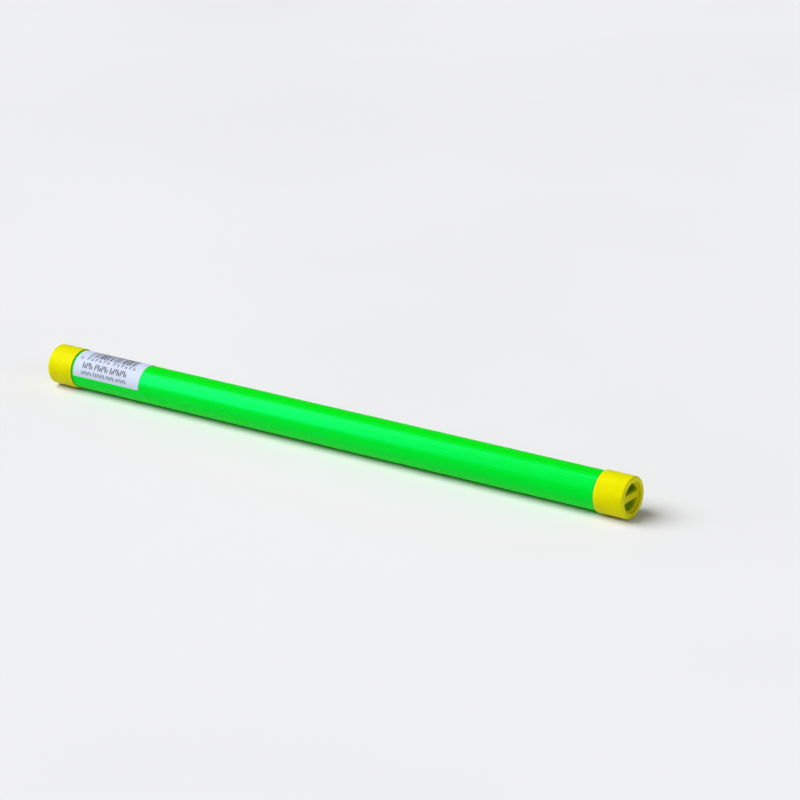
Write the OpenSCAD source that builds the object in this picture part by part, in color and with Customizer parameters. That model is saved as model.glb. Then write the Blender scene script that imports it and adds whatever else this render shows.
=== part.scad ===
// Groan tube: a capped plastic tube with a weighted, reeded plug that slides inside it.
// Millimetres. The tube lies along X and rests on its end caps at Z = 0.

/* [Tube] */
// Length over both end caps
overall_len = 400; // [250:5:600]
// Outside diameter of the tube
tube_od = 22.5; // [20:0.5:32]
// Wall of the tube
tube_wall = 1; // [0.8:0.1:1.5]
// Chamfer at the cut ends of the tube
tube_chamfer = 0.2; // [0.1:0.05:0.3]

/* [End caps] */
// Length of a cap along the tube
cap_len = 18; // [14:0.5:30]
// Wall of the collar that slides over the tube
collar_wall = 0.7; // [0.6:0.05:1.5]
// Clearance of the collar over the tube, on the radius
collar_fit = 0.05; // [0.02:0.01:0.15]
// Rounding of the collar's open lip
lip_r = 0.3; // [0.1:0.05:0.35]
// Chamfer inside the collar's lip that leads it over the tube
lead_in = 0.2; // [0.1:0.05:0.2]
// Width of the flat ring around the dish in the cap's end
rim_w = 3.2; // [2.5:0.1:4]
// Rounding of the cap's outer edge
edge_r = 1.2; // [0.5:0.1:2]
// Chamfer at the mouth of the dish
dish_chamfer = 0.4; // [0.2:0.1:0.6]
// Depth of the dish in the cap's end
dish_depth = 1.6; // [1:0.1:3]
// Thickness of the end wall at the bottom of the dish
end_wall = 2; // [1.2:0.1:3]
// Ring of end wall left around the sound slots
slot_margin = 1.2; // [0.8:0.1:2]
// Width of the bar between the two sound slots
bar_w = 4; // [2:0.5:6]
// Rounding of the sound slots' corners
slot_corner = 0.8; // [0.4:0.1:1.2]
// Length of the spigot that plugs into the tube and stops the sounder
spigot_len = 6; // [3:0.5:10]
// Wall of the spigot
spigot_wall = 1.3; // [1:0.1:2]
// Clearance of the spigot inside the tube, on the radius
spigot_fit = 0.1; // [0.05:0.01:0.3]
// Chamfer around the spigot's tip
spigot_chamfer = 0.4; // [0.2:0.1:0.6]

/* [Label] */
// Length of the paper label along the tube
label_len = 50; // [20:1:80]
// Width of the paper label, wrapped around the tube
label_width = 30; // [10:1:45]
// Thickness of the paper
label_t = 0.1; // [0.08:0.01:0.2]
// Thickness of the adhesive under the paper
glue_t = 0.02; // [0.01:0.01:0.05]
// Bare tube between the left cap's lip and the label
label_inset = 1.5; // [0.5:0.5:20]
// Height of the label's lower edge, as an angle above the tube's front
label_low_angle = -2; // [-45:1:45]

/* [Sounder] */
// Bore of the hollow core
core_bore = 8; // [7:0.5:9]
// Wall of the hollow core
core_wall = 1; // [0.8:0.1:1.5]
// Thickness of each flange
flange_t = 2; // [1.5:0.1:4]
// Clearance between a flange and the tube's bore, on the radius
flange_gap = 0.6; // [0.4:0.05:0.8]
// Chamfer on the flanges and on the core's end
flange_chamfer = 0.3; // [0.1:0.05:0.5]
// Clearance of the pushed-on flange over the core, on the radius
press_fit = 0.02; // [0.01:0.01:0.04]
// Thickness of each soft washer
seal_t = 1.5; // [1:0.1:3]
// Clearance between a soft washer and the tube's bore, on the radius
seal_gap = 0.25; // [0.15:0.05:0.35]
// Length of the weight
weight_len = 28; // [26:1:60]
// Clearance between the weight and the tube's bore, on the radius
weight_gap = 1.25; // [0.8:0.05:2]
// Chamfer on the weight
weight_chamfer = 0.6; // [0.2:0.1:0.8]
// Clearance of the weight and the washers over the core, on the radius
slip_fit = 0.1; // [0.05:0.01:0.2]
// Gap between the sounder and a spigot at either end of its travel
stop_gap = 0.2; // [0.1:0.05:0.5]

/* [Reeds] */
// Diameter of the trough's head
head_od = 12; // [11.5:0.1:13]
// Thickness of the trough's head
head_t = 1.2; // [0.8:0.1:2]
// Gap between the trough and the core's bore, on the radius
trough_gap = 0.8; // [0.6:0.05:1]
// Rounding of the trough's closed end
trough_tip_r = 1; // [0.5:0.1:1.4]
// Length of the collar that clamps the tongue
clamp_len = 3; // [2.5:0.1:4]
// Clearance of the collar in the core and of the trough in the collar
clamp_fit = 0.05; // [0.02:0.01:0.1]
// Length of the face that the tongue beats on
face_len = 11.5; // [9:0.5:12.5]
// Slope of that face away from the tongue
face_slope = 2.9; // [2:0.1:4]
// Wall that closes the trough's end
tip_wall = 1.8; // [1.5:0.1:2.5]
// Diameter of the air passage along the trough
air_bore = 2.2; // [1.6:0.1:2.4]
// Wall of the trough under the air passage
air_floor = 0.7; // [0.5:0.05:0.8]
// Solid face between the clamp and the start of the slot
slot_start = 0.6; // [0.3:0.1:1.5]
// Width of the tongue
tongue_w = 4.6; // [3.5:0.1:5]
// Thickness of the tongue
tongue_t = 0.2; // [0.15:0.01:0.3]
// How far the tongue reaches past the slot
tongue_lap = 0.6; // [0.3:0.1:1]
// Corner cut at the tongue's tip
tongue_corner = 0.5; // [0.3:0.1:0.8]
// Room above and below the tongue's root in the clamp
tongue_gap = 0.15; // [0.12:0.01:0.2]
// Gap at each side and at the end of the tongue's root in the clamp
root_gap = 0.1; // [0.05:0.05:0.3]

/* [Hidden] */
$fn = 96;
// Overshoot of cutting tools
over = 0.5;

// Radii about the tube's axis
tube_r = tube_od / 2;
bore_r = tube_r - tube_wall;
socket_r = tube_r + collar_fit;
cap_r = socket_r + collar_wall;
dish_r = cap_r - rim_w;
slot_r = dish_r - slot_margin;
slot_corner_x = bar_w / 2 + slot_corner;
slot_corner_y = sqrt(pow(slot_r - slot_corner, 2) - pow(slot_corner_x, 2));
spigot_r = bore_r - spigot_fit;
spigot_bore_r = spigot_r - spigot_wall;
core_r = core_bore / 2 + core_wall;
flange_r = bore_r - flange_gap;
seal_r = bore_r - seal_gap;
weight_r = bore_r - weight_gap;
label_r = tube_r + glue_t;

// Places along the tube and height of its axis
axis_z = cap_r;
seat_depth = dish_depth + end_wall;
tube_len = overall_len - 2 * seat_depth;
stop_x = overall_len / 2 - seat_depth - spigot_len;
label_x = -overall_len / 2 + cap_len + label_inset;
label_angle = label_width / label_r * 180 / PI;

// The sounder, from its left face to its right face, at the left end of its travel
core_len = 2 * flange_t + 2 * seal_t + weight_len;
sounder_x = -stop_x + stop_gap;
left_seal_x = flange_t;
weight_x = left_seal_x + seal_t;
right_seal_x = weight_x + weight_len;
right_flange_x = right_seal_x + seal_t;

// Reed sizes, measured inwards from the core's end face and up from the trough's flat
collar_r = core_bore / 2 - clamp_fit;
trough_r = core_bore / 2 - trough_gap;
trough_len = clamp_len + face_len;
air_z = air_floor + air_bore / 2 - trough_r;
air_end = trough_len - tip_wall;
tongue_end = air_end + tongue_lap;
clamp_room = tongue_t + 2 * tongue_gap;

// Colours of the pieces
green = [0.02, 0.88, 0.06];
yellow = [0.86, 0.82, 0.02];
paper = [0.93, 0.93, 0.97];
black = [0.08, 0.08, 0.09];
steel = [0.62, 0.63, 0.65];
grey = [0.28, 0.28, 0.30];
ivory = [0.90, 0.87, 0.78];
amber = [0.85, 0.66, 0.30];

// Turns a shape made about Z so that it lies about the tube's axis, starting at x
module along_tube(x = 0) {
  translate([x, 0, axis_z]) rotate([0, 90, 0]) children();
}

// Ring about the tube's axis with all its corners cut by one chamfer
module ring(x, inner_r, outer_r, len, chamfer = 0) {
  along_tube(x) rotate_extrude() polygon([
    [inner_r, chamfer], [inner_r + chamfer, 0], [outer_r - chamfer, 0], [outer_r, chamfer],
    [outer_r, len - chamfer], [outer_r - chamfer, len], [inner_r + chamfer, len], [inner_r, len - chamfer]
  ]);
}

// What a rounding of radius r takes off the corner at [x, y]
module corner_cut(x, y, r, turn) {
  translate([x, y]) rotate(turn) difference() {
    translate([-r, -r]) square([r + over, r + over]);
    translate([-r, -r]) circle(r);
  }
}

// What a chamfer of width c takes off the corner at [x, y]
module chamfer_cut(x, y, c, turn) {
  translate([x, y]) rotate(turn) polygon([[-c, 0], [-c, over], [over, over], [over, -c], [0, -c]]);
}

// Half section of a cap: X is the radius, Y the depth from the cap's end face
module cap_section() {
  difference() {
    square([cap_r, cap_len]);
    // Dish in the end, with a chamfered mouth
    translate([0, -over]) square([dish_r, dish_depth + over]);
    chamfer_cut(dish_r, 0, dish_chamfer, 180);
    // Socket for the tube, around the spigot
    translate([spigot_r, seat_depth]) square([socket_r - spigot_r, cap_len]);
    translate([0, seat_depth]) square([spigot_bore_r, cap_len]);
    translate([0, seat_depth + spigot_len]) square([socket_r, cap_len]);
    chamfer_cut(spigot_r, seat_depth + spigot_len, spigot_chamfer, 0);
    // Rounded outer edge, and the open lip with its lead-in
    corner_cut(cap_r, 0, edge_r, -90);
    corner_cut(cap_r, cap_len, lip_r, 0);
    chamfer_cut(socket_r, cap_len, lead_in, 90);
  }
}

// One sound slot, a D beside the bar: its round side, its straight side and its two corners
module sound_slot() {
  // How far past the round side the wedge goes that cuts it out of a circle
  reach = 2;
  intersection() {
    circle(slot_r);
    polygon([
      [slot_corner_x, -slot_corner_y], reach * [slot_corner_x, -slot_corner_y],
      reach * [slot_r, -slot_corner_y], reach * [slot_r, slot_corner_y],
      reach * [slot_corner_x, slot_corner_y], [slot_corner_x, slot_corner_y]
    ]);
  }
  translate([bar_w / 2, -slot_corner_y]) square([slot_corner, 2 * slot_corner_y]);
  for (side = [-1, 1])
    translate([slot_corner_x, side * slot_corner_y]) circle(slot_corner);
}

// End cap at the left, with two sound slots parted by a bar
module end_cap() {
  along_tube(-overall_len / 2) difference() {
    rotate_extrude() cap_section();
    for (side = [0, 1])
      mirror([side, 0, 0]) linear_extrude(seat_depth + over) sound_slot();
  }
}

// Places a shape made for the left end of the tube or of the sounder at the right end instead
module at_right(middle = 0) {
  translate([middle, 0, 0]) mirror([1, 0, 0]) translate([-middle, 0, 0]) children();
}

// Puts a reed's own frame at the left end of the core: X inwards, Z up from the trough's flat
module at_reed() {
  translate([sounder_x, 0, axis_z]) children();
}

// Extrudes a shape drawn across the reed, X sideways and Y up, from x for len
module across_reed(x, len) {
  translate([x, 0, 0]) rotate([90, 0, 90]) linear_extrude(len) children();
}

// Round bar along the reed with a rounded far end, from which the trough is cut
module trough_bar() {
  rotate([0, 90, 0]) rotate_extrude() difference() {
    square([trough_r, trough_len]);
    corner_cut(trough_r, trough_len, trough_tip_r, 0);
  }
}

// Half-round trough with a head, an air passage, a slot and a sloping face
module reed_trough() {
  cut_w = 2 * (trough_r + over);
  at_reed() difference() {
    union() {
      translate([-head_t, 0, 0]) rotate([0, 90, 0]) cylinder(d = head_od, h = head_t);
      difference() {
        trough_bar();
        // Flat at the clamp, then the slope that the tongue closes on
        translate([0, -trough_r - over, 0]) cube([trough_len + over, cut_w, trough_r + over]);
        translate([clamp_len, -trough_r - over, 0]) rotate([0, face_slope, 0])
          cube([trough_len, cut_w, trough_r]);
      }
    }
    translate([-head_t - over, 0, air_z]) rotate([0, 90, 0])
      cylinder(d = air_bore, h = head_t + over + air_end);
    across_reed(clamp_len + slot_start, air_end - clamp_len - slot_start)
      translate([-air_bore / 2, air_z]) square([air_bore, trough_r]);
  }
}

// Thin strip that lies over the slot, with its tip's corners cut
module reed_tongue() {
  at_reed() translate([0, 0, tongue_gap]) linear_extrude(tongue_t) polygon([
    [root_gap, -tongue_w / 2],
    [tongue_end - tongue_corner, -tongue_w / 2],
    [tongue_end, -tongue_w / 2 + tongue_corner],
    [tongue_end, tongue_w / 2 - tongue_corner],
    [tongue_end - tongue_corner, tongue_w / 2],
    [root_gap, tongue_w / 2]
  ]);
}

// Plug with a D-shaped hole that holds the tongue on the trough
module reed_collar() {
  at_reed() across_reed(0, clamp_len) difference() {
    circle(collar_r);
    intersection() {
      circle(trough_r + clamp_fit);
      translate([-core_bore, clamp_fit - core_bore]) square([2 * core_bore, core_bore]);
    }
    translate([-tongue_w / 2 - root_gap, -over]) square([tongue_w + 2 * root_gap, over + clamp_room]);
  }
}

module tube() {
  color(green) ring(-tube_len / 2, bore_r, tube_r, tube_len, tube_chamfer);
}

module left_end_cap() {
  color(yellow) end_cap();
}

module right_end_cap() {
  color(yellow) at_right() end_cap();
}

module label() {
  color(paper) along_tube(label_x) rotate([0, 0, -90 - label_low_angle])
    rotate([0, 0, -label_angle]) rotate_extrude(angle = label_angle)
      translate([label_r, 0]) square([label_t, label_len]);
}

module sounder_spool() {
  color(black) union() {
    ring(sounder_x, core_bore / 2, core_r, core_len, flange_chamfer);
    ring(sounder_x, core_bore / 2 + flange_chamfer, flange_r, flange_t, flange_chamfer);
  }
}

module sounder_flange() {
  color(black) ring(sounder_x + right_flange_x, core_r + press_fit, flange_r, flange_t, flange_chamfer);
}

module weight_sleeve() {
  color(steel) ring(sounder_x + weight_x, core_r + slip_fit, weight_r, weight_len, weight_chamfer);
}

module left_seal() {
  color(grey) ring(sounder_x + left_seal_x, core_r + slip_fit, seal_r, seal_t);
}

module right_seal() {
  color(grey) ring(sounder_x + right_seal_x, core_r + slip_fit, seal_r, seal_t);
}

module left_reed_trough() {
  color(ivory) reed_trough();
}

module left_reed_tongue() {
  color(amber) reed_tongue();
}

module left_reed_collar() {
  color(ivory) reed_collar();
}

module right_reed_trough() {
  color(ivory) at_right(sounder_x + core_len / 2) reed_trough();
}

module right_reed_tongue() {
  color(amber) at_right(sounder_x + core_len / 2) reed_tongue();
}

module right_reed_collar() {
  color(ivory) at_right(sounder_x + core_len / 2) reed_collar();
}

tube();
left_end_cap();
right_end_cap();
label();
sounder_spool();
sounder_flange();
weight_sleeve();
left_seal();
right_seal();
left_reed_trough();
left_reed_tongue();
left_reed_collar();
right_reed_trough();
right_reed_tongue();
right_reed_collar();
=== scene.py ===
"""Looks of the groan tube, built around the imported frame.

The tube, its caps and its label get finer meshes in place of their solids. The pieces inside the tube are
shown as their solids, in finishes of their own. Lengths are in metres and angles in radians.
"""

import logging
from abc import ABC, abstractmethod
from collections.abc import Mapping, Sequence
from dataclasses import dataclass, fields
from enum import Enum
from math import atan2, ceil, cos, pi, radians, sin, sqrt
from typing import ClassVar, NamedTuple, Optional, Union

import bmesh
import bpy
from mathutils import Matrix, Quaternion, Vector


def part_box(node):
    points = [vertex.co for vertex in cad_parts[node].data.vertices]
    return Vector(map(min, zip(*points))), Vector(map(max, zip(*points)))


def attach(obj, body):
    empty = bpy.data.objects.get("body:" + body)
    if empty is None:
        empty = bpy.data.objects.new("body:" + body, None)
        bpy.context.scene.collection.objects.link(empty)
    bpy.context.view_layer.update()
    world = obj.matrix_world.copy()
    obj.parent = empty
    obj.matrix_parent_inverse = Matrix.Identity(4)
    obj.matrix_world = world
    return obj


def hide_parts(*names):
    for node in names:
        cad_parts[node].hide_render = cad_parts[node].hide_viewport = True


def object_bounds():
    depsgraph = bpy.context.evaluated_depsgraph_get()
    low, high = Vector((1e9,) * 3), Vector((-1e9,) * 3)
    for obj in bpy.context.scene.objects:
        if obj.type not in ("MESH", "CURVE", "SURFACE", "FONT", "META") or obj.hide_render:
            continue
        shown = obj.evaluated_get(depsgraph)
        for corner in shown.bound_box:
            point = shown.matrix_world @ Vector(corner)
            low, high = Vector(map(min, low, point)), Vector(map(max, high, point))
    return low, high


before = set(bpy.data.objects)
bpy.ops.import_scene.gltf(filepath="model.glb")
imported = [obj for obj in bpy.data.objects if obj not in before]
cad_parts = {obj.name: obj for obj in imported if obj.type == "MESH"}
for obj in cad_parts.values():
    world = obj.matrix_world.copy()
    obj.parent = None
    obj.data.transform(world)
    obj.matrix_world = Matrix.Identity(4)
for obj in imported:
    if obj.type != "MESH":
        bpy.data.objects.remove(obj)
CAD_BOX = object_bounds()

LOG = logging.getLogger("groan_tube")
MM = 0.001

Triple = tuple[float, float, float]
Colour = tuple[float, float, float, float]
Pair = tuple[float, float]
Weights = Mapping[str, float]
Constants = Mapping[str, Union[float, Colour]]
Socket = bpy.types.NodeSocket
Sockets = Mapping[str, Socket]
Feed = Union[Socket, float, Sequence[float]]
Inputs = Mapping[Union[str, int], Feed]
Mesh = bmesh.types.BMesh
Corners = Sequence[bmesh.types.BMVert]


class End(Enum):
    """The two ends of the tube, by the sign of X."""

    LEFT = -1
    RIGHT = 1

    def node(self, piece: str) -> str:
        """Returns the name of the frame's node for a piece at this end."""
        return f"{self.name.lower()}_{piece}"


class SlotSide(Enum):
    """The two sound slots in a cap's end, by the side of the bar between them."""

    ABOVE = 1
    BELOW = -1


class Shine(Enum):
    """What a light gives, as a pair: whether it lights surfaces, and whether glossy ones mirror it."""

    FULL = (True, True)
    EVEN = (True, False)
    CARD = (False, True)


class ShaderTree:
    """Adds and links the nodes of one material or node group."""

    # The Mix node's sockets for colours, which share their names with those for numbers.
    mix_inputs: ClassVar[tuple[int, ...]] = (0, 6, 7)
    mix_result: ClassVar[int] = 2
    usual_noise: ClassVar[Pair] = (0.3, 0.7)

    def __init__(self, tree: bpy.types.NodeTree) -> None:
        """Takes the tree that the nodes go into."""
        self.tree = tree

    def feed(self, target: Socket, source: Feed) -> None:
        """Links an output to an input, or sets the input to a constant.

        Args:
            target: The input.
            source: An output of another node, or the constant.
        """
        if isinstance(source, bpy.types.NodeSocket):
            self.tree.links.new(source, target)
        else:
            target.default_value = source

    def add(self, kind: str, given: Optional[Inputs] = None, **settings: object) -> bpy.types.Node:
        """Adds a node.

        Args:
            kind: Blender's name for the type of node.
            given: What goes into its inputs, by their names or numbers.
            settings: Properties to set on it before that.

        Returns:
            The new node.
        """
        node = self.tree.nodes.new(kind)
        for name, value in settings.items():
            setattr(node, name, value)
        for key, source in (given or {}).items():
            self.feed(node.inputs[key], source)
        return node

    def math(self, operation: str, *values: Feed) -> Socket:
        """Works out one number from others."""
        return self.add("ShaderNodeMath", dict(enumerate(values)), operation=operation).outputs[0]

    def weigh(self, masks: Sockets, weights: Weights, start: float = 0.0) -> Feed:
        """Adds up masks, each with a weight.

        Args:
            masks: The masks by name.
            weights: The weights by the masks' names.
            start: What the sum starts from.

        Returns:
            The sum.
        """
        total: Feed = start
        for name, weight in weights.items():
            total = self.math("MULTIPLY_ADD", masks[name], weight, total)
        return total

    def stretch(self, vector: Socket, factors: Feed) -> Socket:
        """Scales coordinates by a factor for each axis."""
        return self.add("ShaderNodeVectorMath", {0: vector, 1: factors}, operation="MULTIPLY").outputs[0]

    def noise(self, vector: Socket, scale: Feed = 1.0, detail: float = 2.0, roughness: Feed = 0.5) -> Socket:
        """Adds a noise of so many features per unit, whose value lies around a half."""
        given = {"Vector": vector, "Scale": scale, "Detail": detail, "Roughness": roughness}
        return self.add("ShaderNodeTexNoise", given).outputs["Fac"]

    def cells(self, vector: Socket, scale: Feed) -> Socket:
        """Adds so many cells per unit, and finds the distance to the middle of the nearest one."""
        return self.add("ShaderNodeTexVoronoi", {"Vector": vector, "Scale": scale}).outputs["Distance"]

    def ease(self, value: Feed, start: Feed, end: Feed, low: float = 0.0, high: float = 1.0) -> Socket:
        """Eases a value that goes from start to end into one that goes from low to high."""
        given = {"Value": value, "From Min": start, "From Max": end, "To Min": low, "To Max": high}
        return self.add("ShaderNodeMapRange", given, interpolation_type="SMOOTHSTEP").outputs["Result"]

    def spread(self, noise: Socket) -> Socket:
        """Spreads the usual values of a noise over nought to one."""
        return self.ease(noise, *self.usual_noise)

    def mix(self, mask: Socket, first: Feed, second: Feed) -> Socket:
        """Mixes two colours: the first where the mask is nought, the second where it is one."""
        given = dict(zip(self.mix_inputs, (mask, first, second)))
        return self.add("ShaderNodeMix", given, data_type="RGBA").outputs[self.mix_result]

    def bump(self, height: Feed, depth: float) -> Socket:
        """Turns a height into a normal, where a height of one stands for the depth."""
        return self.add("ShaderNodeBump", {"Height": height, "Distance": depth}).outputs["Normal"]


@dataclass(frozen=True)
class Effect(ABC):
    """A shader node group that finishes share; an effect's fields are its values for the group's inputs."""

    outputs: ClassVar[tuple[str, ...]]
    socket_kinds: ClassVar[Mapping[object, str]] = {float: "NodeSocketFloat", Triple: "NodeSocketVector"}

    @classmethod
    @abstractmethod
    def wire(cls, tree: ShaderTree, given: Sockets) -> Sequence[Socket]:
        """Makes the nodes inside the group.

        Args:
            tree: The group's tree.
            given: The group's inputs by name.

        Returns:
            The group's outputs in order.
        """

    @classmethod
    def group(cls) -> bpy.types.NodeTree:
        """Makes the group when it is first asked for.

        Returns:
            The group.
        """
        found = bpy.data.node_groups.get(cls.__name__)
        if found:
            return found
        group = bpy.data.node_groups.new(cls.__name__, "ShaderNodeTree")
        kinds = {field.name.capitalize(): cls.socket_kinds[field.type] for field in fields(cls)}
        for name, kind in {"Vector": cls.socket_kinds[Triple], **kinds}.items():
            group.interface.new_socket(name, in_out="INPUT", socket_type=kind)
        for name in cls.outputs:
            group.interface.new_socket(name, in_out="OUTPUT", socket_type=cls.socket_kinds[float])
        tree = ShaderTree(group)
        made = cls.wire(tree, tree.add("NodeGroupInput").outputs)
        tree.add("NodeGroupOutput", dict(zip(cls.outputs, made)))
        return group

    def place(self, tree: ShaderTree, vector: Socket) -> dict[str, Socket]:
        """Places the group in a material, with this effect's values.

        Args:
            tree: The material's tree.
            vector: The piece's own coordinates.

        Returns:
            The group's outputs by name.
        """
        values = {field.name.capitalize(): getattr(self, field.name) for field in fields(self)}
        node = tree.add("ShaderNodeGroup", {"Vector": vector, **values}, node_tree=self.group())
        return dict(node.outputs.items())


@dataclass(frozen=True)
class Streaks(Effect):
    """Noise drawn out along the axes, so many features per metre on each: lines, fibres, patches, clouds."""

    pitch: Triple
    roughness: float = 0.65
    low: float = 0.3
    high: float = 0.7
    outputs = ("Noise", "Streaks", "Drift")
    drift_scale: ClassVar[float] = 0.1

    @classmethod
    def wire(cls, tree: ShaderTree, given: Sockets) -> Sequence[Socket]:
        """Makes the noise, the streaks where it goes from low to high, and their slow drift.

        Args:
            tree: The group's tree.
            given: The group's inputs by name.

        Returns:
            The noise, the streaks and the drift.
        """
        stretched = tree.stretch(given["Vector"], given["Pitch"])
        noise = tree.noise(stretched, detail=3.0, roughness=given["Roughness"])
        drift = tree.noise(stretched, cls.drift_scale, detail=1.0)
        return noise, tree.ease(noise, given["Low"], given["High"]), tree.spread(drift)


@dataclass(frozen=True)
class MouldedGrain(Effect):
    """Fine surface texture of a moulded piece, of so many grains per metre, and a mottle of its colour."""

    grains: float
    outputs = ("Grain", "Mottle")
    grains_across_mottle: ClassVar[float] = 30.0

    @classmethod
    def wire(cls, tree: ShaderTree, given: Sockets) -> Sequence[Socket]:
        """Makes the grain and the mottle.

        Args:
            tree: The group's tree.
            given: The group's inputs by name.

        Returns:
            The grain and the mottle.
        """
        grain = tree.noise(given["Vector"], given["Grains"])
        coarse = tree.math("DIVIDE", given["Grains"], cls.grains_across_mottle)
        mottle = tree.noise(given["Vector"], coarse, detail=3.0, roughness=0.6)
        return tree.spread(grain), tree.spread(mottle)


@dataclass(frozen=True)
class HandlingMarks(Effect):
    """Faint smudges, so many per metre, and hairline scuffs from being picked up and packed."""

    marks: float
    outputs = ("Smudge", "Scuff")
    smudge_range: ClassVar[Pair] = (0.48, 0.72)
    scuffed_range: ClassVar[Pair] = (0.5, 0.62)
    scuffs_per_mark: ClassVar[float] = 4.0
    scuff_stretch: ClassVar[Triple] = (0.35, 1.6, 1.1)
    scuff_level: ClassVar[float] = 0.5
    hairline: ClassVar[float] = 0.008

    @classmethod
    def wire(cls, tree: ShaderTree, given: Sockets) -> Sequence[Socket]:
        """Makes the smudges, and the scuffs on the level lines of a stretched noise.

        Args:
            tree: The group's tree.
            given: The group's inputs by name.

        Returns:
            The smudges and the scuffs.
        """
        spots = tree.noise(given["Vector"], given["Marks"], detail=4.0, roughness=0.65)
        dense = tree.math("MULTIPLY", given["Marks"], cls.scuffs_per_mark)
        drawn = tree.noise(tree.stretch(given["Vector"], cls.scuff_stretch), dense)
        off_line = tree.math("ABSOLUTE", tree.math("SUBTRACT", drawn, cls.scuff_level))
        lines = tree.ease(off_line, cls.hairline, 0.0)
        scuffs = tree.math("MULTIPLY", lines, tree.ease(spots, *cls.scuffed_range))
        return tree.ease(spots, *cls.smudge_range), scuffs


@dataclass(frozen=True)
class PaintedEdgeBand(Effect):
    """Bands around the axis at one or two distances from the tube's middle, where finishes paint shade or
    highlight.
    """

    first: float
    second: float
    width: float
    outputs = ("Band",)
    breaks: ClassVar[float] = 700.0
    break_range: ClassVar[Pair] = (0.35, 0.6)
    least_cover: ClassVar[float] = 0.3

    @classmethod
    def wire(cls, tree: ShaderTree, given: Sockets) -> Sequence[Socket]:
        """Makes the bands, with a broken edge, at both ends of the tube alike.

        Args:
            tree: The group's tree.
            given: The group's inputs by name.

        Returns:
            The bands.
        """
        parted = tree.add("ShaderNodeSeparateXYZ", {0: given["Vector"]}).outputs
        along = tree.math("ABSOLUTE", parted["X"])
        near = []
        for edge in ("First", "Second"):
            off = tree.math("ABSOLUTE", tree.math("SUBTRACT", along, given[edge]))
            near.append(tree.ease(tree.math("DIVIDE", off, given["Width"]), 1.0, 0.0))
        breaks = tree.noise(given["Vector"], cls.breaks, detail=3.0)
        cover = tree.ease(breaks, *cls.break_range, low=cls.least_cover)
        return [tree.math("MULTIPLY", tree.math("MAXIMUM", *near), cover)]


@dataclass(frozen=True)
class OpenCells(Effect):
    """The cut-open cells of a foam, so many per metre."""

    cells: float
    outputs = ("Cell",)
    cell_range: ClassVar[Pair] = (0.15, 0.6)

    @classmethod
    def wire(cls, tree: ShaderTree, given: Sockets) -> Sequence[Socket]:
        """Makes the cells, which are nought in their middles and one at their walls."""
        return [tree.ease(tree.cells(given["Vector"], given["Cells"]), *cls.cell_range)]


class Finish:
    """A material, made from the masks that its effects give.

    The layers are colours that cover the base colour where their masks are one, lowest first. The roughness
    starts from a plain value, the height starts from nought, and each mask adds its weight to them. A height
    of one stands for the relief. The constants are the shader's other inputs.
    """

    title: ClassVar[str]
    effects: ClassVar[tuple[Effect, ...]]
    colour: ClassVar[Colour]
    layers: ClassVar[Mapping[str, Colour]]
    roughness: ClassVar[float]
    roughening: ClassVar[Weights]
    relief: ClassVar[float] = 0.0
    heights: ClassVar[Weights] = {}
    constants: ClassVar[Constants] = {}

    @property
    def material(self) -> bpy.types.Material:
        """The material, made when it is first asked for."""
        return bpy.data.materials.get(self.title) or self.make()

    def make(self) -> bpy.types.Material:
        """Makes the material.

        Returns:
            The new material.
        """
        material = bpy.data.materials.new(self.title)
        material.use_nodes = True
        tree = ShaderTree(material.node_tree)
        shader = material.node_tree.nodes["Principled BSDF"].inputs
        vector = tree.add("ShaderNodeTexCoord").outputs["Object"]
        masks: dict[str, Socket] = {}
        for effect in self.effects:
            masks.update(effect.place(tree, vector))
        colour: Feed = self.colour
        for mask, over in self.layers.items():
            colour = tree.mix(masks[mask], colour, over)
        tree.feed(shader["Base Color"], colour)
        tree.feed(shader["Roughness"], tree.weigh(masks, self.roughening, self.roughness))
        if self.heights:
            tree.feed(shader["Normal"], tree.bump(tree.weigh(masks, self.heights), self.relief))
        for name, value in self.constants.items():
            tree.feed(shader[name], value)
        return material


class TubePlastic(Finish):
    """Glossy fluorescent green plastic with extrusion die lines, painted shade at the caps' lips and a
    painted glow.
    """

    title = "Tube plastic"
    effects = (
        Streaks(pitch=(3.0, 700.0, 700.0)),
        HandlingMarks(marks=55.0),
        PaintedEdgeBand(first=181.6 * MM, second=181.6 * MM, width=1.3 * MM),
    )
    colour = (0.0, 0.62, 0.002, 1.0)
    # The Band layer is painted shade: a dark green line on the tube at each cap's lip.
    layers = {"Drift": (0.0, 0.66, 0.004, 1.0), "Band": (0.02, 0.34, 0.02, 1.0)}
    roughness = 0.24
    roughening = {"Streaks": 0.05, "Smudge": 0.05, "Scuff": 0.1}
    relief = 0.004 * MM
    heights = {"Drift": 0.6, "Streaks": 0.25, "Scuff": -0.3}
    constants = {
        "Specular Tint": (0.0, 4.9, 4.9, 1.0),
        "Specular IOR Level": 0.07,
        # The weak green emission is a painted glow, standing in for fluorescence and lifting the shaded
        # side.
        "Emission Color": (0.0, 1.0, 0.01, 1.0),
        "Emission Strength": 0.06,
    }


class CapPlastic(Finish):
    """Satin yellow plastic with a moulded grain, paler at its lip and its end: painted highlight along with
    rubbing wear.
    """

    title = "Cap plastic"
    effects = (
        MouldedGrain(grains=4200.0),
        HandlingMarks(marks=120.0),
        PaintedEdgeBand(first=182.0 * MM, second=200.0 * MM, width=1.4 * MM),
    )
    colour = (0.63, 0.6, 0.0, 1.0)
    # The Band layer is a painted highlight along with rubbing wear: pale yellow at the lip and the end.
    layers = {"Mottle": (0.68, 0.65, 0.0, 1.0), "Band": (0.78, 0.75, 0.012, 1.0)}
    roughness = 0.36
    roughening = {"Grain": 0.06, "Smudge": 0.08, "Scuff": 0.12, "Band": -0.06}
    relief = 0.012 * MM
    heights = {"Grain": 0.5, "Mottle": 0.2, "Scuff": -0.4}
    constants = {"Specular Tint": (3.4, 3.4, 0.0, 1.0), "Specular IOR Level": 0.06}


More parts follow.
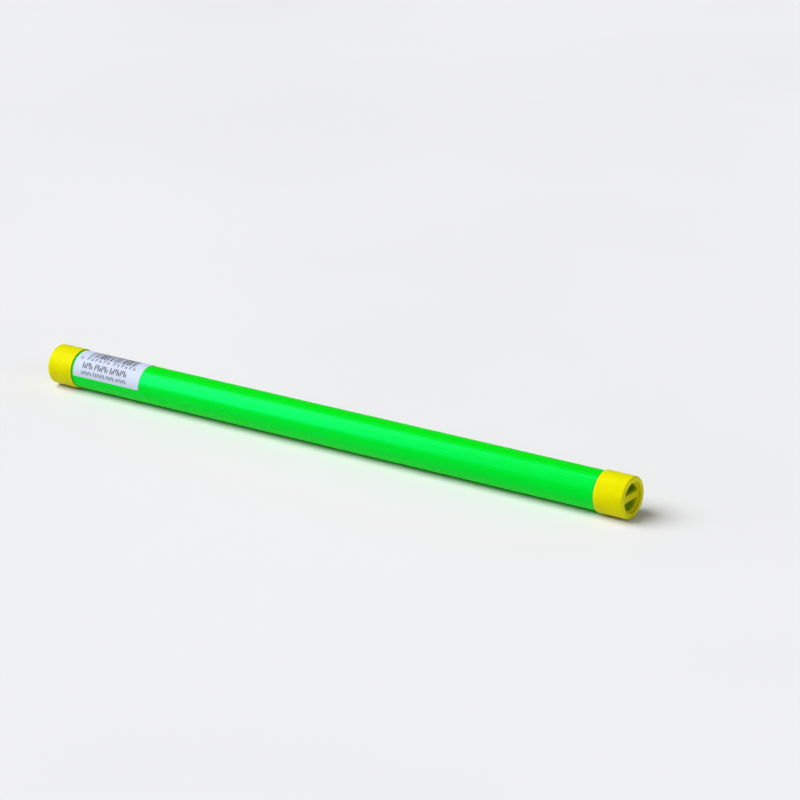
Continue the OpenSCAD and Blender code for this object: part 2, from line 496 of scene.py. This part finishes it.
class LabelPaper(Finish):
    """Smooth white sticker paper with fine fibres and a few smudges."""

    title = "Label paper"
    effects = (Streaks(pitch=(900.0, 2600.0, 2600.0), roughness=0.6), HandlingMarks(marks=90.0))
    colour = (0.505, 0.565, 0.715, 1.0)
    layers = {"Smudge": (0.47575, 0.5335, 0.6835, 1.0)}
    roughness = 0.55
    roughening = {"Noise": 0.15, "Smudge": -0.08}
    relief = 0.012 * MM
    heights = {"Noise": 1.0}


class PrintInk(Finish):
    """Thermal print, a little patchy."""

    title = "Print ink"
    effects = (Streaks(pitch=(1500.0, 1500.0, 1500.0), roughness=0.5, low=0.45),)
    colour = (0.012, 0.012, 0.018, 1.0)
    layers = {"Streaks": (0.055, 0.055, 0.075, 1.0)}
    roughness = 0.5
    roughening = {"Streaks": 0.2}


class SpoolPlastic(Finish):
    """Matte black moulded plastic of the spool and its flange."""

    title = "Spool plastic"
    effects = (MouldedGrain(grains=7000.0),)
    colour = (0.014, 0.014, 0.016, 1.0)
    layers = {"Mottle": (0.024, 0.024, 0.027, 1.0)}
    roughness = 0.45
    roughening = {"Grain": 0.1, "Mottle": 0.08}
    relief = 0.008 * MM
    heights = {"Grain": 1.0}


class ReedPlastic(SpoolPlastic):
    """The same plastic, a little smoother and in cream, of the reeds' troughs and collars."""

    title = "Reed plastic"
    colour = (0.7, 0.63, 0.46, 1.0)
    layers = {"Mottle": (0.8, 0.74, 0.58, 1.0)}
    roughness = 0.35


class PlatedSteel(Finish):
    """Turned steel with a dull, cloudy zinc plating."""

    title = "Plated steel"
    effects = (Streaks(pitch=(5200.0, 25.0, 25.0)), MouldedGrain(grains=6000.0))
    colour = (0.46, 0.47, 0.5, 1.0)
    layers = {"Mottle": (0.56, 0.57, 0.6, 1.0)}
    roughness = 0.3
    roughening = {"Streaks": 0.12, "Mottle": 0.1}
    relief = 0.012 * MM
    heights = {"Streaks": 1.0}
    constants = {"Metallic": 1.0}


class SealFoam(Finish):
    """Closed-cell foam, with its cells cut open."""

    title = "Seal foam"
    effects = (OpenCells(cells=3800.0),)
    colour = (0.02, 0.02, 0.022, 1.0)
    layers = {"Cell": (0.075, 0.075, 0.08, 1.0)}
    roughness = 0.8
    roughening = {"Cell": 0.15}
    relief = 0.12 * MM
    heights = {"Cell": 1.0}


class TongueFilm(Finish):
    """Springy amber film with the lines of its rolling."""

    title = "Tongue film"
    effects = (Streaks(pitch=(60.0, 5000.0, 300.0)),)
    colour = (0.58, 0.34, 0.07, 1.0)
    layers = {"Drift": (0.72, 0.46, 0.13, 1.0)}
    roughness = 0.22
    roughening = {"Streaks": 0.12}
    relief = 0.004 * MM
    heights = {"Streaks": 1.0}


class StudioFloor(Finish):
    """Pale matte backdrop paper with faint clouds."""

    title = "Studio floor"
    effects = (Streaks(pitch=(2.5, 2.5, 2.5), roughness=0.5, low=0.35, high=0.65),)
    colour = (0.72, 0.72, 0.73, 1.0)
    layers = {"Streaks": (0.74, 0.74, 0.75, 1.0)}
    roughness = 0.6
    roughening = {"Noise": 0.1}
    constants = {"Specular IOR Level": 0.05}


class Wave(NamedTuple):
    """A wave on a curved skin: radians for each unit along it and around it, and its phase."""

    along: float
    around: float
    phase: float = 0.0

    def at(self, along: float, around: float) -> float:
        """Finds the wave's height at a place, from -1 to 1."""
        return sin(self.along * along + self.around * around + self.phase)


@dataclass(frozen=True)
class Ripple:
    """Unevenness of a curved skin: its depth, and pairs of crossing waves after the share of each pair."""

    depth: float
    pairs: tuple[tuple[float, Wave, Wave], ...]

    def at(self, along: float, around: float) -> float:
        """Finds the height at a place.

        Args:
            along: Place along the skin.
            around: Place around it.

        Returns:
            The height, from nought to the depth.
        """
        shares = sum(share for share, _, _ in self.pairs)
        height = sum(share * one.at(along, around) * two.at(along, around) for share, one, two in self.pairs)
        return self.depth * (1 + height / shares) / 2


class Corner(NamedTuple):
    """A corner of a turned outline: its place along the axis, its radius and its rounding."""

    along: float
    out: float
    rounding: float = 0.0


def rounded(corners: Sequence[Corner], steps: int = 6) -> list[Vector]:
    """Rounds the corners of an open outline; its two ends stay as they are.

    Args:
        corners: The outline's corners in order.
        steps: How many parts each rounding has.

    Returns:
        The points of the rounded outline.
    """
    points = [Vector((corner.along, corner.out)) for corner in corners]
    outline = [points[0]]
    for before, here, after, corner in zip(points, points[1:], points[2:], corners[1:]):
        if not corner.rounding:
            outline.append(here)
            continue
        back = (before - here).normalized()
        on = (after - here).normalized()
        half_angle = back.angle(on) / 2
        reach = corner.rounding / sin(half_angle)
        centre = here + (back + on).normalized() * reach
        start = here + back * (reach * cos(half_angle)) - centre
        stop = here + on * (reach * cos(half_angle)) - centre
        swings = [start.lerp(stop, step / steps).normalized() for step in range(steps + 1)]
        outline += [centre + swing * corner.rounding for swing in swings]
    outline.append(points[-1])
    return outline


def arc(centre: Pair, radius: float, sweep: Pair, parts: int) -> list[Vector]:
    """Draws an arc.

    Args:
        centre: Its centre.
        radius: Its radius.
        sweep: The angles where it starts and stops.
        parts: How many parts it has.

    Returns:
        Its points.
    """
    x, y = centre
    start, stop = sweep
    angles = [start + (stop - start) * part / parts for part in range(parts + 1)]
    return [Vector((x + radius * cos(angle), y + radius * sin(angle))) for angle in angles]


def strip(mesh: Mesh, near: Corners, far: Corners, closed: bool = True) -> None:
    """Joins two rows of points with a strip of faces.

    Args:
        mesh: The mesh that the points are in.
        near: One row.
        far: The other row, with as many points.
        closed: Whether the rows are rings.
    """
    sides = list(zip(near, near[1:], far[1:], far))
    if closed:
        sides.append((near[-1], near[0], far[0], far[-1]))
    for side in sides:
        mesh.faces.new(side)


def skinned(rings: Sequence[Sequence[Vector]], looped: bool) -> Mesh:
    """Makes a closed mesh of rings of points.

    Args:
        rings: The rings in order, each with as many points.
        looped: True to join the last ring to the first, False to put a face on both.

    Returns:
        The mesh.
    """
    mesh = bmesh.new()
    rows = [[mesh.verts.new(point) for point in ring] for ring in rings]
    for near, far in zip(rows, rows[1:]):
        strip(mesh, near, far)
    if looped:
        strip(mesh, rows[-1], rows[0])
    else:
        mesh.faces.new(rows[0])
        mesh.faces.new(rows[-1])
    bmesh.ops.recalc_face_normals(mesh, faces=mesh.faces)
    return mesh


@dataclass(frozen=True)
class Lathe:
    """Turns outlines about the tube's axis."""

    axis_z: float
    segments: int = 144

    def point(self, along: float, out: float, turn: float) -> Vector:
        """Finds the point at a place along X, a distance from the axis and an angle up from the front."""
        return Vector((along, -out * cos(turn), self.axis_z + out * sin(turn)))

    def turned(self, outline: Sequence[Vector], closed: bool) -> Mesh:
        """Turns an outline of (place along X, distance from the axis) through a full circle.

        Args:
            outline: The outline's points.
            closed: True for a ring, False for a solid whose outline ends near the axis.

        Returns:
            The closed mesh.
        """
        turns = [2 * pi * segment / self.segments for segment in range(self.segments)]
        return skinned([[self.point(*spot, turn) for turn in turns] for spot in outline], closed)


class Workshop:
    """Turns meshes into pieces of the object."""

    smooth_under: ClassVar[float] = radians(38)
    weld_under: ClassVar[float] = 0.002 * MM

    @staticmethod
    def loose(name: str, mesh: Mesh) -> bpy.types.Object:
        """Makes an object of a mesh and frees the mesh.

        Args:
            name: The object's name.
            mesh: Its mesh.

        Returns:
            The object.
        """
        data = bpy.data.meshes.new(name)
        mesh.to_mesh(data)
        mesh.free()
        made = bpy.data.objects.new(name, data)
        bpy.context.scene.collection.objects.link(made)
        return made

    @classmethod
    def cut(cls, made: bpy.types.Object, tools: Sequence[bpy.types.Object]) -> None:
        """Cuts tools out of an object, welds what nearly meets, and deletes the tools.

        Args:
            made: The object.
            tools: The cutting tools.
        """
        for tool in tools:
            modifier = made.modifiers.new("Cut", "BOOLEAN")
            modifier.operation = "DIFFERENCE"
            modifier.solver = "EXACT"
            modifier.object = tool
        mesh = bmesh.new()
        mesh.from_object(made, bpy.context.evaluated_depsgraph_get())
        bmesh.ops.remove_doubles(mesh, verts=mesh.verts, dist=cls.weld_under)
        made.modifiers.clear()
        mesh.to_mesh(made.data)
        mesh.free()
        for tool in tools:
            bpy.data.meshes.remove(tool.data)

    @classmethod
    def piece(cls, made: bpy.types.Object, finish: Finish, body: str, slot: str, node: str = "") -> None:
        """Makes a piece of an object: smooth, finished and riding on its body.

        Args:
            made: The object.
            finish: Its finish.
            body: The body that it rides on.
            slot: The record's material slot, which is not used.
            node: The frame's node that it stands for, if it stands for one.
        """
        made.data.shade_smooth()
        made.data.set_sharp_from_angle(angle=cls.smooth_under)
        weighted = made.modifiers.new("Weighted normals", "WEIGHTED_NORMAL")
        weighted.keep_sharp = True
        made.data.materials.clear()
        made.data.materials.append(finish.material)
        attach(made, body)
        if node:
            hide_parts(node)
        LOG.info("%s: %d faces, rides on %s", made.name, len(made.data.polygons), body)

    @staticmethod
    def dress(node: str, finish: Finish) -> None:
        """Gives a node of the frame, which is shown as it is, its finish.

        Args:
            node: The node's name.
            finish: Its finish.
        """
        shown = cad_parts[node]
        shown.data.materials.clear()
        shown.data.materials.append(finish.material)
        LOG.info("%s: shown as it is, in %s", node, finish.title)


@dataclass
class TubeShell:
    """The extruded tube, slightly wavy, with softened cut ends."""

    half_length: float
    outer_r: float
    axis_z: float
    wall: float = 1.0 * MM
    end_rounding: float = 0.2 * MM
    rings: int = 96
    ripple: Ripple = Ripple(0.008 * MM, (
        (1.0, Wave(61.0, 2.0), Wave(23.0, -1.0, 0.8)),
        (0.4, Wave(170.0, 0.0, 0.6), Wave(35.0, 3.0)),
    ))

    @classmethod
    def from_frame(cls) -> "TubeShell":
        """Takes the tube's size from the frame."""
        low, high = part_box("tube")
        return cls(half_length=high.x, outer_r=(high.z - low.z) / 2, axis_z=(high.z + low.z) / 2)

    def outline(self) -> list[Vector]:
        """Draws half the tube's long section.

        Returns:
            The points of a closed outline.
        """
        end = self.half_length
        inner_r = self.outer_r - self.wall
        span = end - 2 * self.end_rounding
        places = [span * (2 * ring / self.rings - 1) for ring in range(self.rings + 1)]
        corners = [
            Corner(places[-1], self.outer_r),
            Corner(end, self.outer_r, self.end_rounding),
            Corner(end, inner_r, self.end_rounding),
            Corner(0.0, inner_r),
            Corner(-end, inner_r, self.end_rounding),
            Corner(-end, self.outer_r, self.end_rounding),
            Corner(places[0], self.outer_r),
        ]
        return rounded(corners, steps=4) + [Vector((place, self.outer_r)) for place in places[1:-1]]

    def build(self) -> None:
        """Builds and finishes the tube."""
        mesh = Lathe(self.axis_z).turned(self.outline(), closed=True)
        for vertex in mesh.verts:
            across = Vector((-vertex.co.y, vertex.co.z - self.axis_z))
            if across.length > self.outer_r - self.end_rounding:
                turn = atan2(across.y, across.x)
                shrunk = across * (1 - self.ripple.at(vertex.co.x, turn) / across.length)
                vertex.co.yz = -shrunk.x, self.axis_z + shrunk.y
        Workshop.piece(Workshop.loose("tube_shell", mesh), TubePlastic(), "casing", "tube_plastic", "tube")


@dataclass
class EndCap:
    """A moulded cap: collar over the tube, dished end with two sound slots, spigot inside the tube."""

    end: End
    end_x: float
    length: float
    outer_r: float
    axis_z: float
    collar_wall: float = 0.7 * MM
    edge_rounding: float = 1.2 * MM
    lip_rounding: float = 0.3 * MM
    lead_in: float = 0.2 * MM
    rim_width: float = 3.2 * MM
    mouth_rounding: float = 0.4 * MM
    dish_depth: float = 1.6 * MM
    end_wall: float = 2.0 * MM
    inner_rounding: float = 0.25 * MM
    spigot_length: float = 6.0 * MM
    spigot_r: float = 10.15 * MM
    spigot_wall: float = 1.3 * MM
    spigot_rounding: float = 0.4 * MM
    gate_r: float = 0.8 * MM
    gate_height: float = 0.2 * MM
    slot_margin: float = 1.2 * MM
    bar_width: float = 4.0 * MM
    slot_corner: float = 0.8 * MM
    slot_edge: float = 0.25 * MM
    slot_overshoot: float = 0.004 * MM

    @classmethod
    def from_frame(cls, end: End) -> "EndCap":
        """Takes the cap's size from the frame.

        Args:
            end: Which end of the tube the cap closes.

        Returns:
            The cap.
        """
        low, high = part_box(end.node("end_cap"))
        end_x = low.x if end is End.LEFT else high.x
        return cls(end, end_x, high.x - low.x, (high.z - low.z) / 2, (high.z + low.z) / 2)

    @property
    def dish_r(self) -> float:
        """Radius of the dish in the cap's end."""
        return self.outer_r - self.rim_width

    @property
    def seat(self) -> float:
        """Depth at which the tube's end seats."""
        return self.dish_depth + self.end_wall

    def along(self, depth: float) -> float:
        """Turns a depth from the cap's end face into a place along X."""
        return self.end_x - self.end.value * depth

    def outline(self) -> list[Vector]:
        """Draws half the cap's long section, from its outer face at the axis to its inner face.

        Returns:
            The points of an open outline.
        """
        core_r = self.gate_r / 4
        gate_top = self.dish_depth - self.gate_height
        gate_foot_r = self.gate_r + self.gate_height / 2
        gate_soft = self.gate_height / 3
        socket_r = self.outer_r - self.collar_wall
        spigot_bore_r = self.spigot_r - self.spigot_wall
        tip = self.seat + self.spigot_length
        soft = self.inner_rounding
        seat_soft = soft / 4
        corners = [
            Corner(gate_top, core_r),
            Corner(gate_top, self.gate_r, gate_soft),
            Corner(self.dish_depth, gate_foot_r, gate_soft),
            Corner(self.dish_depth, self.dish_r, soft),
            Corner(0.0, self.dish_r, self.mouth_rounding),
            Corner(0.0, self.outer_r, self.edge_rounding),
            Corner(self.length, self.outer_r, self.lip_rounding),
            Corner(self.length, socket_r, self.lead_in),
            Corner(self.seat, socket_r, seat_soft),
            Corner(self.seat, self.spigot_r, seat_soft),
            Corner(tip, self.spigot_r, self.spigot_rounding),
            Corner(tip, spigot_bore_r, soft),
            Corner(self.seat, spigot_bore_r, soft),
            Corner(self.seat, core_r),
        ]
        return [Vector((self.along(point.x), point.y)) for point in rounded(corners)]

    def slot_outline(self, grow: float, steps: int = 41, corner_steps: int = 8) -> list[Vector]:
        """Draws the D of a sound slot.

        Args:
            grow: How far the outline lies outside the slot's wall.
            steps: Parts of its round side; an odd number keeps its points off the lathe's seam.
            corner_steps: Parts of each rounded corner.

        Returns:
            Points of (distance up from the bar's middle, distance sideways).
        """
        slot_r = self.dish_r - self.slot_margin
        up = self.bar_width / 2 + self.slot_corner
        side = sqrt((slot_r - self.slot_corner) ** 2 - up ** 2)
        swing = atan2(side, up)
        corner_r = self.slot_corner + grow
        round_side = arc((0.0, 0.0), slot_r + grow, (-swing, swing), steps)
        first = arc((up, side), corner_r, (swing, pi), corner_steps)
        second = arc((up, -side), corner_r, (pi, 2 * pi - swing), corner_steps)
        return round_side + first[1:] + second[:-1]

    def slot_levels(self, steps: int = 4) -> list[Pair]:
        """Lists the levels of a slot's cutting tool, flared at both faces of the end wall.

        Args:
            steps: Parts of each flare.

        Returns:
            Pairs of a depth and how far the outline grows there.
        """
        edge = self.slot_edge
        front_face = self.dish_depth - self.slot_overshoot
        back_face = self.seat + self.slot_overshoot
        clear = self.dish_depth / 2
        turns = [pi / 2 * step / steps for step in range(steps + 1)]
        front = [(front_face + edge * (1 - cos(turn)), edge * (1 - sin(turn))) for turn in turns]
        back = [(back_face - edge * (1 - sin(turn)), edge * (1 - cos(turn))) for turn in turns]
        return [(self.dish_depth - clear, edge), *front, *back, (self.seat + clear, edge)]

    def slot_tool(self, side: SlotSide) -> bpy.types.Object:
        """Makes the tool that cuts one sound slot.

        Args:
            side: Which of the two slots it cuts.

        Returns:
            The tool.
        """
        rings = []
        for depth, grow in self.slot_levels():
            place = self.along(depth)
            spots = self.slot_outline(grow)
            rings.append([Vector((place, spot.y, self.axis_z + side.value * spot.x)) for spot in spots])
        return Workshop.loose("slot_tool", skinned(rings, looped=False))

    def build(self) -> None:
        """Builds and finishes the cap."""
        node = self.end.node("end_cap")
        made = Workshop.loose(f"{node}_shell", Lathe(self.axis_z).turned(self.outline(), closed=False))
        Workshop.cut(made, [self.slot_tool(side) for side in SlotSide])
        Workshop.piece(made, CapPlastic(), "casing", "cap_plastic", node)


class Patch(NamedTuple):
    """A rectangle on the label, by its edges from the label's left and lower edge, and its rounding."""

    left: float
    right: float
    low: float
    high: float
    corner: float = 0.0

    def inset(self, around: float) -> float:
        """Finds how far the rounded corners push a row in from the left and right edges.

        Args:
            around: The row's distance from the label's lower edge.

        Returns:
            The distance.
        """
        nearest = min(around - self.low, self.high - around)
        if nearest >= self.corner:
            return 0.0
        return self.corner - sqrt(max(0.0, self.corner ** 2 - (self.corner - nearest) ** 2))


@dataclass(frozen=True, kw_only=True)
class PrintRow(ABC):
    """A row of print: where it stands on the label and how high it is."""

    start: float
    base: float
    height: float

    @abstractmethod
    def patches(self) -> list[Patch]:
        """Lays out the row's marks.

        Returns:
            One patch for each mark.
        """


@dataclass(frozen=True, kw_only=True)
class BarRow(PrintRow):
    """Bars whose widths follow a formula and stand for nothing."""

    module: float
    bars: int
    widths: int = 4
    black_fold: int = 3
    white_fold: int = 5

    def patches(self) -> list[Patch]:
        """Lays out the bars.

        Returns:
            One patch for each bar.
        """
        made = []
        place = self.start
        for bar in range(self.bars):
            black_step = bar * bar + bar // self.black_fold
            white_step = bar * self.black_fold + bar * bar // self.white_fold
            after = place + self.module * (1 + black_step % self.widths)
            made.append(Patch(place, after, self.base, self.base + self.height))
            place = after + self.module * (1 + white_step % self.widths)
        return made


@dataclass(frozen=True, kw_only=True)
class StrokeRow(PrintRow):
    """Pairs of a long and a short stroke in groups, like small print from afar, with no letters in it."""

    stroke: float
    pitch: float
    groups: tuple[int, ...]
    strokes_between: float = 0.7
    short_share: float = 0.6
    gap_share: float = 0.5

    def patches(self) -> list[Patch]:
        """Lays out the strokes.

        Returns:
            One patch for each stroke.
        """
        made = []
        place = self.start
        short = self.height * self.short_share
        for group in self.groups:
            for number in range(group):
                second = place + self.stroke * (1 + self.strokes_between)
                low = self.base if (number + group) % 2 else self.base + self.height - short
                made.append(Patch(place, place + self.stroke, self.base, self.base + self.height))
                made.append(Patch(second, second + self.stroke, low, low + short))
                place += self.pitch
            place += self.pitch * self.gap_share
        return made


@dataclass
class PaperLabel:
    """The sticker: a wrapped sheet with a lifted edge, printed with bars and plain rows."""

    left_x: float
    length: float
    tube_r: float
    axis_z: float
    width: float = 30.0 * MM
    low_angle: float = radians(-2)
    glue: float = 0.02 * MM
    paper: float = 0.1 * MM
    paper_cell: float = 0.35 * MM
    corner: float = 0.7 * MM
    ripple: Ripple = Ripple(0.02 * MM, ((1.0, Wave(410.0, 160.0), Wave(-90.0, 330.0, 0.7)),))
    curl: float = 0.07 * MM
    curl_reach: float = 4.0 * MM
    ink: float = 0.012 * MM
    ink_cell: float = 0.7 * MM
    rows: tuple[PrintRow, ...] = (
        StrokeRow(start=6.4 * MM, base=2.0 * MM, height=2.2 * MM, stroke=0.42 * MM, pitch=1.6 * MM,
                  groups=(5, 6, 4, 5)),
        StrokeRow(start=6.4 * MM, base=5.8 * MM, height=3.8 * MM, stroke=0.8 * MM, pitch=2.6 * MM,
                  groups=(3, 4, 5)),
        StrokeRow(start=3.0 * MM, base=11.2 * MM, height=2.3 * MM, stroke=0.5 * MM, pitch=3.05 * MM,
                  groups=(1, 6, 6)),
        BarRow(start=7.8 * MM, base=14.0 * MM, height=9.6 * MM, module=0.31 * MM, bars=24),
        StrokeRow(start=8.0 * MM, base=25.0 * MM, height=2.4 * MM, stroke=0.5 * MM, pitch=2.1 * MM,
                  groups=(4, 3, 6)),
    )

    @classmethod
    def from_frame(cls) -> "PaperLabel":
        """Takes the label's place and the tube's size from the frame.

        Returns:
            The label.
        """
        low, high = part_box("label")
        tube_low, tube_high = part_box("tube")
        tube_r = (tube_high.z - tube_low.z) / 2
        return cls(low.x, high.x - low.x, tube_r, (tube_high.z + tube_low.z) / 2)

    def point(self, along: float, around: float, lift: float) -> Vector:
        """Finds a point on the label.

        Args:
            along: Distance from the label's left edge.
            around: Distance from its lower edge, around the tube.
            lift: Height above the underside of the paper.

        Returns:
            The point.
        """
        under_r = self.tube_r + self.glue
        turn = self.low_angle + around / under_r
        to_right = max(0.0, 1 - (self.length - along) / self.curl_reach)
        to_top = max(0.0, 1 - (self.width - around) / self.curl_reach)
        lifted = self.curl * (to_right ** 2 + to_top ** 2) / 2
        out = under_r + self.ripple.at(along, around) + lifted + lift
        return Lathe(self.axis_z).point(self.left_x + along, out, turn)

    def grid(self, mesh: Mesh, patch: Patch, lift: float, cell: float) -> list[Corners]:
        """Adds one face of a sheet.

        Args:
            mesh: The mesh that it goes into.
            patch: Its rectangle on the label.
            lift: Its height above the underside of the paper.
            cell: The longest side of its cells.

        Returns:
            Its rows of points.
        """
        columns = ceil((patch.right - patch.left) / cell)
        rows = ceil((patch.high - patch.low) / cell)
        made = []
        for row in range(rows + 1):
            around = patch.low + (patch.high - patch.low) * row / rows
            inset = patch.inset(around)
            span = patch.right - patch.left - 2 * inset
            places = [patch.left + inset + span * column / columns for column in range(columns + 1)]
            made.append([mesh.verts.new(self.point(place, around, lift)) for place in places])
        for near, far in zip(made, made[1:]):
            strip(mesh, near, far, closed=False)
        return made

    @staticmethod
    def sides(grid: Sequence[Corners]) -> tuple[Corners, ...]:
        """Lists the points along the four sides of a grid."""
        return grid[0], grid[-1], [row[0] for row in grid], [row[-1] for row in grid]

    def sheets(self, patches: Sequence[Patch], lifts: Pair, cell: float) -> Mesh:
        """Makes thin closed sheets that follow the label.

        Args:
            patches: Their rectangles on the label.
            lifts: Heights of their undersides and of their faces.
            cell: The longest side of their cells.

        Returns:
            The sheets in one mesh.
        """
        mesh = bmesh.new()
        for patch in patches:
            under, face = (self.grid(mesh, patch, lift, cell) for lift in lifts)
            for near, far in zip(self.sides(under), self.sides(face)):
                strip(mesh, near, far, closed=False)
        bmesh.ops.recalc_face_normals(mesh, faces=mesh.faces)
        return mesh

    def build(self) -> None:
        """Builds and finishes the sheet and its print."""
        whole = Patch(0.0, self.length, 0.0, self.width, self.corner)
        sheet = self.sheets([whole], (0.0, self.paper), self.paper_cell)
        Workshop.piece(Workshop.loose("label_sheet", sheet), LabelPaper(), "casing", "label_paper", "label")
        marks = [patch for row in self.rows for patch in row.patches()]
        ink = self.sheets(marks, (self.paper / 2, self.paper + self.ink), self.ink_cell)
        Workshop.piece(Workshop.loose("label_print", ink), PrintInk(), "casing", "label_paper")


@dataclass(frozen=True)
class Sounder:
    """The plug that slides in the tube: spool, pushed-on flange, weight and two foam washers."""

    spool: Finish = SpoolPlastic()
    weight: Finish = PlatedSteel()
    seal: Finish = SealFoam()

    def build(self) -> None:
        """Finishes the plug's pieces, whose solids are shown as they are."""
        Workshop.dress("sounder_spool", self.spool)
        Workshop.dress("sounder_flange", self.spool)
        Workshop.dress("weight_sleeve", self.weight)
        for end in End:
            Workshop.dress(end.node("seal"), self.seal)


@dataclass(frozen=True)
class Reed:
    """The reed in one end of the plug: trough, tongue and clamping collar."""

    end: End
    body: Finish = ReedPlastic()
    tongue: Finish = TongueFilm()

    def build(self) -> None:
        """Finishes the reed's pieces, whose solids are shown as they are."""
        Workshop.dress(self.end.node("reed_trough"), self.body)
        Workshop.dress(self.end.node("reed_collar"), self.body)
        Workshop.dress(self.end.node("reed_tongue"), self.tongue)


@dataclass(frozen=True, kw_only=True)
class StudioLight(ABC):
    """A light that hangs at a place and is aimed at another."""

    name: str
    place: Triple
    aim: Triple = (0.0, 0.0, 0.0)
    strength: float
    shine: Shine = Shine.FULL
    kind: ClassVar[str]

    @abstractmethod
    def form(self, lamp: bpy.types.Light) -> None:
        """Gives the lamp its form."""

    def build(self) -> None:
        """Hangs the light."""
        lamp = bpy.data.lights.new(self.name, self.kind)
        lamp.energy = self.strength
        self.form(lamp)
        hung = bpy.data.objects.new(self.name, lamp)
        hung.location = self.place
        hung.visible_diffuse, hung.visible_glossy = self.shine.value
        hung.rotation_mode = "QUATERNION"
        hung.rotation_quaternion = (Vector(self.aim) - Vector(self.place)).to_track_quat("-Z", "Y")
        bpy.context.scene.collection.objects.link(hung)
        LOG.info("light %s hung", self.name)


@dataclass(frozen=True, kw_only=True)
class GlossCard(StudioLight):
    """A bright card that only glossy surfaces mirror, with its strength in watts."""

    size: Pair
    shine: Shine = Shine.CARD
    kind = "AREA"

    def form(self, lamp: bpy.types.Light) -> None:
        """Gives the lamp its width and its height."""
        lamp.shape = "RECTANGLE"
        lamp.size, lamp.size_y = self.size


@dataclass(frozen=True, kw_only=True)
class WideLight(StudioLight):
    """A broad far light that falls evenly on the floor, with its strength in watts per square metre."""

    spread: float
    kind = "SUN"

    def form(self, lamp: bpy.types.Light) -> None:
        """Gives the lamp its spread, which softens the shadows."""
        lamp.angle = self.spread


@dataclass(frozen=True)
class Studio:
    """Pale floor and soft light."""

    floor_size: float = 60.0
    floor_cells: int = 8
    sky: Colour = (0.95, 0.97, 1.0, 1.0)
    sky_strength: float = 0.16
    lights: tuple[StudioLight, ...] = (
        WideLight(name="ceiling_light", place=(-0.83, -0.55, 1.2), strength=3.85, spread=radians(54),
                  shine=Shine.EVEN),
        WideLight(name="front_fill", place=(1.2, -1.6, 1.0), strength=0.1, spread=radians(30)),
        WideLight(name="side_fill", place=(2.0, -0.5, 0.8), strength=0.46, spread=radians(26)),
        WideLight(name="back_fill", place=(0.4, 1.8, 1.2), strength=0.2, spread=radians(35)),
        GlossCard(name="top_card", place=(0.0, -0.05, 1.5), strength=9.5, size=(1.2, 0.25)),
        GlossCard(name="front_card", place=(-1.5, -0.9, 1.08), aim=(-1.5, 0.0, 0.0), strength=56.0,
                  size=(1.3, 2.2)),
    )

    def build(self) -> None:
        """Builds the floor, the lights and the sky."""
        mesh = bmesh.new()
        cells = self.floor_cells
        bmesh.ops.create_grid(mesh, x_segments=cells, y_segments=cells, size=self.floor_size / 2)
        floor = Workshop.loose("floor", mesh)
        floor.location.z = CAD_BOX[0].z
        floor.data.materials.append(StudioFloor().material)
        for light in self.lights:
            light.build()
        world = bpy.data.worlds.new("Studio")
        world.use_nodes = True
        backdrop = world.node_tree.nodes["Background"].inputs
        backdrop["Color"].default_value = self.sky
        backdrop["Strength"].default_value = self.sky_strength
        bpy.context.scene.world = world
        bpy.context.scene.view_settings.view_transform = "Standard"


@dataclass(frozen=True)
class PhotoCamera:
    """The photograph's viewpoint, worked out from its perspective."""

    azimuth: float = radians(34.875)
    elevation: float = radians(20.542)
    roll: float = radians(-1.0)
    distance: float = 1.7105
    aim: Triple = (0.0305, 0.0274, 0.0254)
    lens: float = 135.34
    sensor: float = 36.0
    nearest: float = 0.05

    def build(self) -> None:
        """Sets up the camera."""
        camera = bpy.data.cameras.new("photo_camera")
        camera.lens = self.lens
        camera.sensor_width = self.sensor
        camera.clip_start = self.nearest
        placed = bpy.data.objects.new("photo_camera", camera)
        level = cos(self.elevation)
        back = Vector((sin(self.azimuth) * level, -cos(self.azimuth) * level, sin(self.elevation)))
        placed.location = Vector(self.aim) + back * self.distance
        placed.rotation_mode = "QUATERNION"
        placed.rotation_quaternion = (-back).to_track_quat("-Z", "Y") @ Quaternion((0, 0, 1), self.roll)
        bpy.context.scene.collection.objects.link(placed)
        bpy.context.scene.camera = placed


def main() -> None:
    """Builds the object's sub-assemblies, then the studio around them."""
    logging.basicConfig(level=logging.INFO, format="%(message)s")
    PhotoCamera().build()
    TubeShell.from_frame().build()
    for end in End:
        EndCap.from_frame(end).build()
    PaperLabel.from_frame().build()
    Sounder().build()
    for end in End:
        Reed(end).build()
    Studio().build()


if __name__ == "__main__":
    main()
